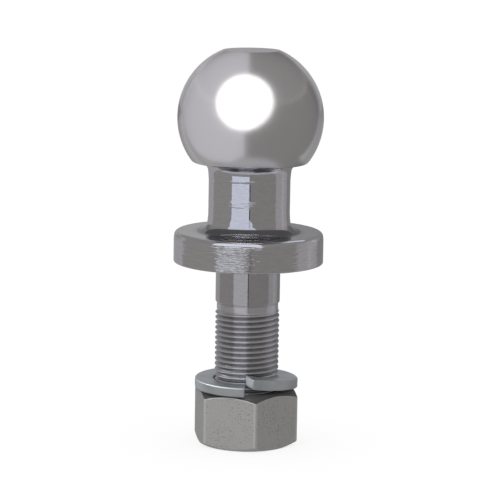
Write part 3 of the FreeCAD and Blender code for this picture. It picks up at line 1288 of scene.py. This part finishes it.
# %% The tent round the ball
def tent_wall(angles, inner, outer):
    """Part of a round tent round the ball, whose middle axis points from the ball to the camera.

    Each angle is measured round that axis, from straight up over the left. There the wall reaches
    from an inner to an outer opening, which are angles from the axis.
    """
    key = np.radians(angles)
    turn = np.interp(np.linspace(0, 1, 80), np.linspace(0, 1, len(key)), key)
    near, far = (
        np.interp(turn, key, np.radians(np.broadcast_to(edge, len(key))))
        for edge in (inner, outer)
    )
    opening = near + np.linspace(0, 1, 16)[:, None] * (far - near)
    pitch = math.radians(CAMERA_PITCH)
    axis = np.array([0, -math.cos(pitch), math.sin(pitch)])
    up = np.array([0, math.sin(pitch), math.cos(pitch)])
    out = np.cos(turn)[:, None] * up - np.sin(turn)[:, None] * np.array([1, 0, 0])
    direction = np.cos(opening)[..., None] * axis + np.sin(opening)[..., None] * out
    return STUDIO_RADIUS * direction + [0, 0, BALL_CENTRE_HEIGHT]


LEFT_PANEL = (0.38, 0.383, 0.415)
tent_walls = {
    "ball_left": (
        [2, 25, 45, 90, 120, 140, 150, 159.9, 160, 166, 176, 190, 214],
        0,
        [122, 136, 140, 132, 119, 105, 91, 78, 24, 25, 25, 21, 18],
        LEFT_PANEL,
    ),
    "ball_sliver": (
        [160, 166, 168, 170, 172],
        [24, 34, 40, 48, 61],
        [78, 70, 69, 68, 68],
        LEFT_PANEL,
    ),
    "ball_rim_upper_left": ([15, 25, 45, 60, 85], [131, 136, 140, 139, 134], 176, 0.26),
    "ball_rim_left": ([85, 165], [133, 134], 176, 0.50),
    "ball_rim_lower_left": ([90, 107, 116, 125, 150], [131, 124, 118, 113, 104], 134, 0.19),
    "ball_rim_upper_right": ([275, 290, 335], [133, 138, 144], 176, 0.19),
    "ball_rim_right": ([232, 240, 255, 275], [116, 123, 128, 133], 176, 0.31),
    "ball_rim_right_edge": ([232, 285], [148, 148], 176, 0.22),
}
for name, (angles, inner, outer, radiance) in tent_walls.items():
    if isinstance(radiance, float):
        radiance = (radiance, radiance, 1.02 * radiance)
    glowing_sheet(name, on_ball, tent_wall(angles, inner, outer), radiance)
print(len(tent_walls), "walls in the tent")


# %% Windows in a round room
def window(elevations, left, right):
    """Part of a round room: at each elevation it reaches from one azimuth to another.

    Left and right are one azimuth, or one for each elevation.
    """
    share = np.linspace(0, 1, 24)
    rise = np.interp(share, np.linspace(0, 1, len(elevations)), elevations)
    start, end = (
        np.interp(rise, elevations, np.broadcast_to(side, len(elevations)))
        for side in (left, right)
    )
    azimuth = np.radians(start[:, None] + share * (end - start)[:, None])
    rise = np.radians(rise)[:, None]
    return STUDIO_RADIUS * polar(np.cos(rise), azimuth, np.sin(rise))


STRIP = (0.45, 0.50, 0.65)
windows = [
    ("ceiling", ball_and_washer, (24.3, 89), -180, 180, (0.215, 0.207, 0.195)),
    ("ball_back", on_ball, (0, 24.3), 150, 210, (0.40, 0.40, 0.41)),
    ("backdrop", ball_and_washer, (0, 24.3), 138, 228, (0.24, 0.24, 0.25)),
    ("strip", on_neck, (-18.8, -5, 8, 24.3), (-50, -50, -57, -62), (0, 0, 15, 22), STRIP),
    ("neck_low", on_neck, (-60, -40), -110, 110, (0.17, 0.19, 0.25)),
    ("flange_strip", on_flange, (-17, 6), -49.5, -3.4, (0.38, 0.41, 0.48)),
    ("flange_edge", on_flange, (22, 62), -60, 22, (0.68, 0.71, 0.84)),
    ("flange_above", on_flange, (62, 140), -60, 22, (0.50, 0.53, 0.64)),
    ("flange_top", on_flange, (24.5, 62), -180, 180, 0.20),
    ("flange_back", on_flange, (2, 24), 115, 245, 0.12),
    ("shank_strip", on_shank, (-60, 24), -52, 0, (0.25, 0.26, 0.30)),
    ("shank_top", on_shank, (24.5, 89), -180, 180, (0.26, 0.27, 0.30)),
    ("shank_low", on_shank, (-89, -28), -180, 180, (0.06, 0.065, 0.08)),
    ("thread_strip", on_shank, (24, 89), -60, 10, (0.48, 0.51, 0.60)),
    ("right", on_turned, (-60, 24), 80, 130, (0.12, 0.12, 0.14)),
    ("right_line", on_turned, (-60, 24), 104, 113, (0.07, 0.07, 0.08)),
    ("left_edge", on_turned, (-60, 2), -179, -121, (0.14, 0.14, 0.16)),
    ("left_back", on_turned, (2, 24), -180, -150, 0.13),
    ("zinc_left", on_zinc, (-30, 20), -152, -112, (0.16, 0.16, 0.17)),
    ("zinc_right", on_zinc, (-30, 30), 55, 110, 0.06),
    ("washer_end", on_washer, (12, 45), -122, -72, (2.3, 2.42, 2.5)),
]
for name, lit, elevations, left, right, radiance in windows:
    glowing_sheet(name, lit, window(elevations, left, right), radiance)
print(len(windows), "windows")

soft_box("zinc_key", on_zinc, -40, 30, 1800, (0.9, 0.9, 0.92))
